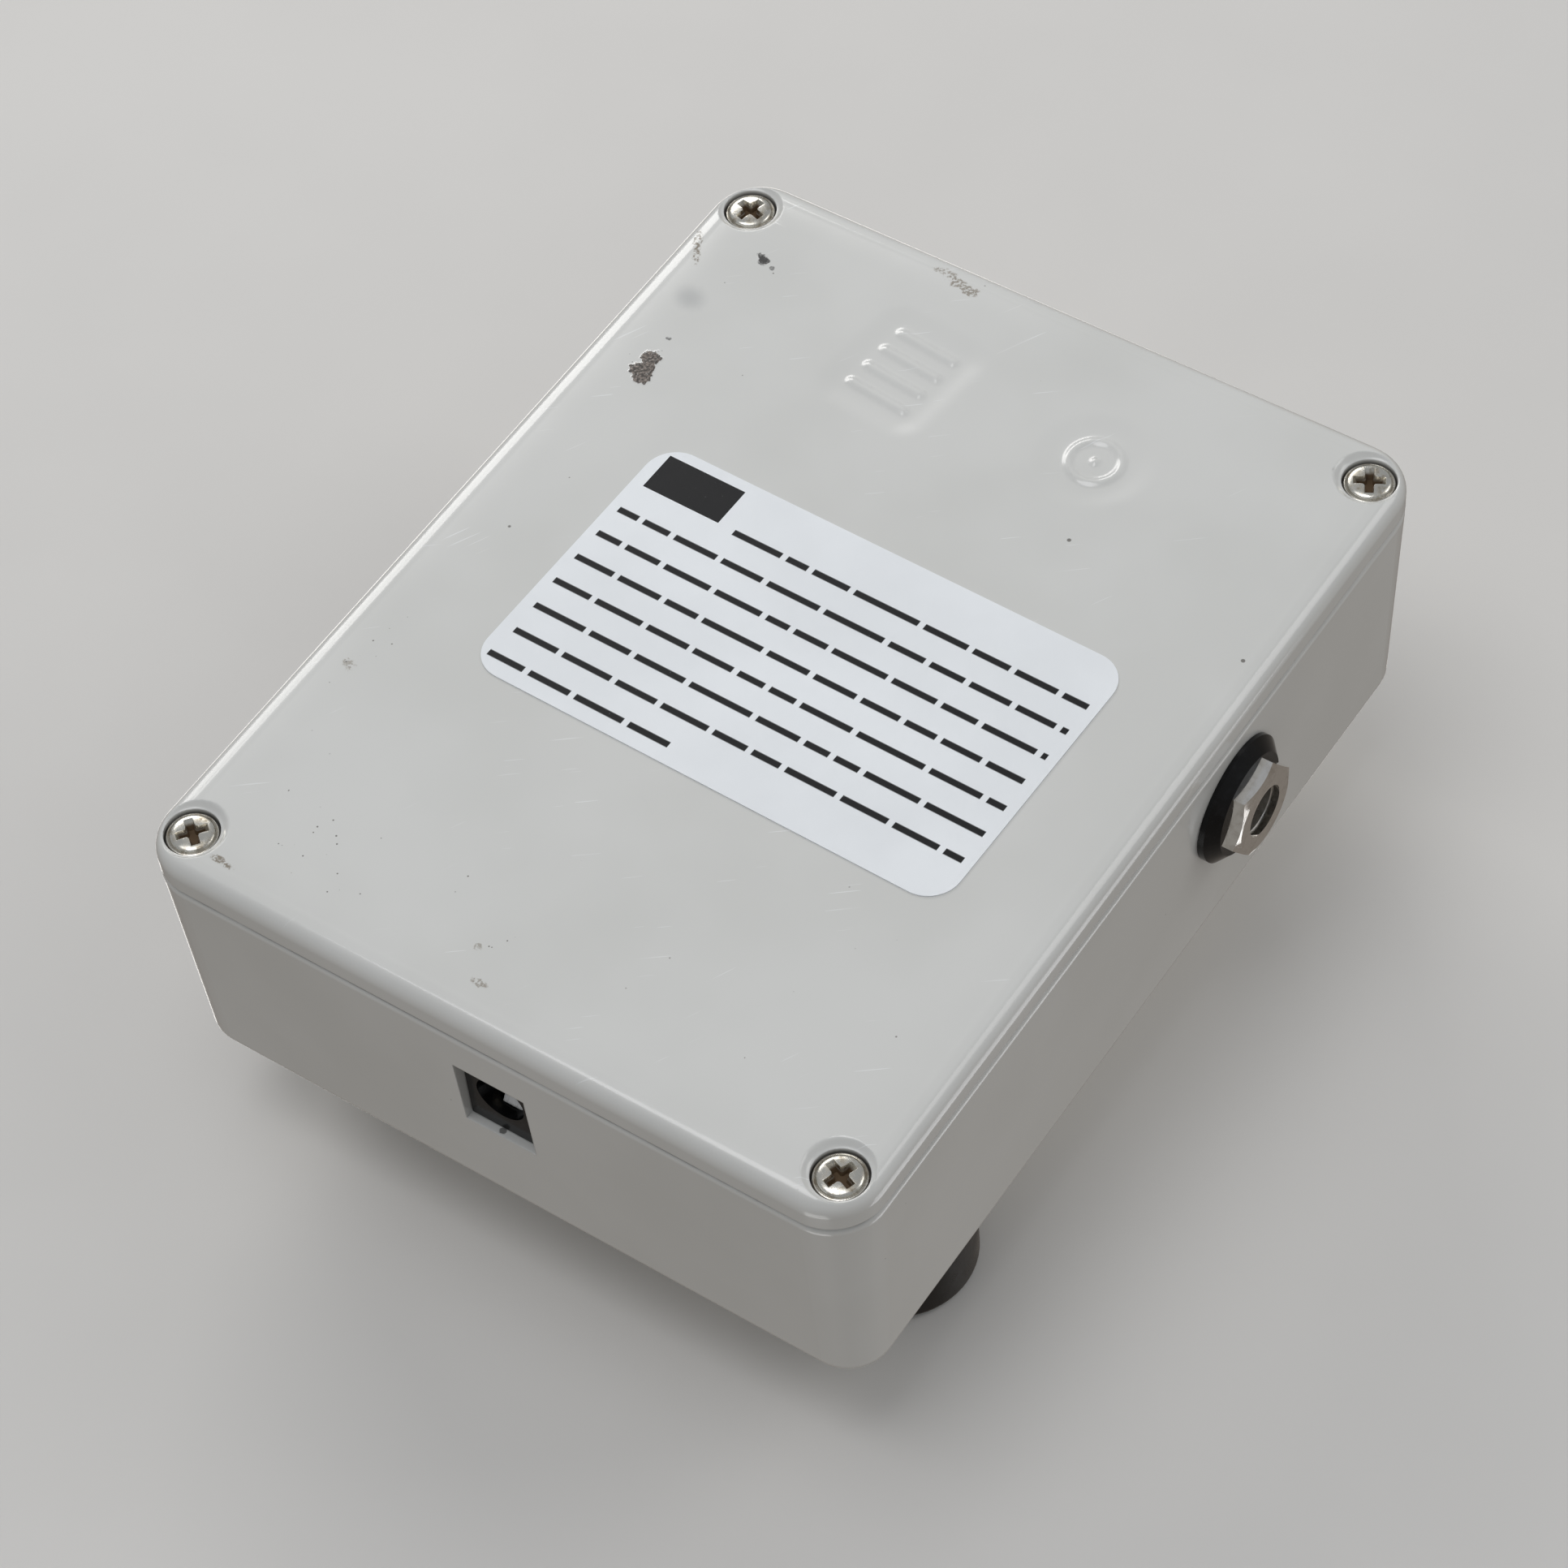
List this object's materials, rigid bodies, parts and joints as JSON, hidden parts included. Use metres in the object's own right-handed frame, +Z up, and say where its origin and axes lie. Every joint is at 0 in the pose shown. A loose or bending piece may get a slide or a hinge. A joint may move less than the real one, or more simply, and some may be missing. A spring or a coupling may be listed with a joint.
{
  "type": "direct injection box",
  "caption": "Die-cast direct injection box with screwed base cover, jack input and thru, balanced output, power socket, knobs, toggles and footswitch.",
  "frame": {"origin": "centre of the base label's outer face, which the box rests on, at the middle of the enclosure", "axes": "+X right, towards the input jack; +Y rear, towards the power socket; +Z up, towards the knobs"},
  "size_m": [0.1012, 0.1194, 0.0505],
  "materials": {
    "enamel": "gloss enamel over die-cast aluminium",
    "label": "satin vinyl label",
    "screw_steel": "nickel plated, slightly tarnished",
    "black_plastic": "gloss moulded",
    "nickel": "bright nickel",
    "contact_metal": "tinned brass",
    "zinc": "zinc plated",
    "switch_body": "moulded switch body",
    "knob_plastic": "satin black phenolic",
    "pointer_white": "paint filled line",
    "lamp_red": "tinted clear",
    "board": "solder mask",
    "components": "moulded",
    "wire": "pvc insulation"
  },
  "bodies": {
    "chassis": {"amplifier_chips": "components", "base_cover": "enamel", "base_label": "label", "blend_pot": "zinc", "cover_screws": "screw_steel", "electrolytic_cans": "components", "enclosure_body": "enamel", "film_capacitors": "components", "footswitch_body": "switch_body", "footswitch_leads": "wire", "footswitch_lugs": "contact_metal", "footswitch_nut": "nickel", "footswitch_spring": "zinc", "footswitch_washer": "black_plastic", "ground_lift_switch": "switch_body", "input_jack_housing": "black_plastic", "input_jack_nut": "nickel", "input_jack_sleeve": "nickel", "input_jack_springs": "contact_metal", "input_jack_washer": "black_plastic", "lamp": "lamp_red", "lamp_bezel": "nickel", "main_board": "board", "output_insert": "black_plastic", "output_leads": "wire", "output_pins": "contact_metal", "output_screws": "screw_steel", "output_shell": "nickel", "pad_switch": "switch_body", "pot_nuts": "nickel", "pot_wafers": "board", "pot_washers": "nickel", "power_jack_body": "black_plastic", "power_jack_leaf": "contact_metal", "power_jack_pin": "contact_metal", "resistors": "components", "thru_jack_housing": "black_plastic", "thru_jack_nut": "nickel", "thru_jack_sleeve": "nickel", "thru_jack_springs": "contact_metal", "thru_jack_washer": "black_plastic", "toggle_nuts": "nickel", "toggle_washers": "nickel", "tone_pot": "zinc", "volume_pot": "zinc"},
    "volume_control": {"volume_shaft": "zinc", "volume_knob": "knob_plastic", "volume_pointer": "pointer_white"},
    "tone_control": {"tone_shaft": "zinc", "tone_knob": "knob_plastic", "tone_pointer": "pointer_white"},
    "blend_control": {"blend_shaft": "zinc", "blend_knob": "knob_plastic", "blend_pointer": "pointer_white"},
    "ground_lift_toggle": {"ground_lift_lever": "nickel"},
    "pad_toggle": {"pad_lever": "nickel"},
    "footswitch_plunger": {"footswitch_button": "nickel", "footswitch_clip": "nickel"}
  },
  "joints": [
    {"name": "volume_turn", "type": "hinge", "parent": "chassis", "child": "volume_control", "pos_m": [-0.0334, 0.0344, 0.0505], "axis": [0, 0, -1], "range_deg": [-150, 150]},
    {"name": "tone_turn", "type": "hinge", "parent": "chassis", "child": "tone_control", "pos_m": [0, 0.0344, 0.0505], "axis": [0, 0, -1], "range_deg": [-150, 150]},
    {"name": "blend_turn", "type": "hinge", "parent": "chassis", "child": "blend_control", "pos_m": [0.0334, 0.0344, 0.0505], "axis": [0, 0, -1], "range_deg": [-150, 150]},
    {"name": "ground_lift_throw", "type": "hinge", "parent": "chassis", "child": "ground_lift_toggle", "pos_m": [-0.016, 0.004, 0.0395], "axis": [-1, 0, 0], "range_deg": [0, 24]},
    {"name": "pad_throw", "type": "hinge", "parent": "chassis", "child": "pad_toggle", "pos_m": [0.016, 0.004, 0.0395], "axis": [-1, 0, 0], "range_deg": [0, 24]},
    {"name": "footswitch_press", "type": "slide", "parent": "chassis", "child": "footswitch_plunger", "axis": [0, 0, -1], "range_m": [0, 0.003], "stiffness_N_per_m": 2500, "springref_m": -0.002, "deforming": ["footswitch_spring"]}
  ]
}
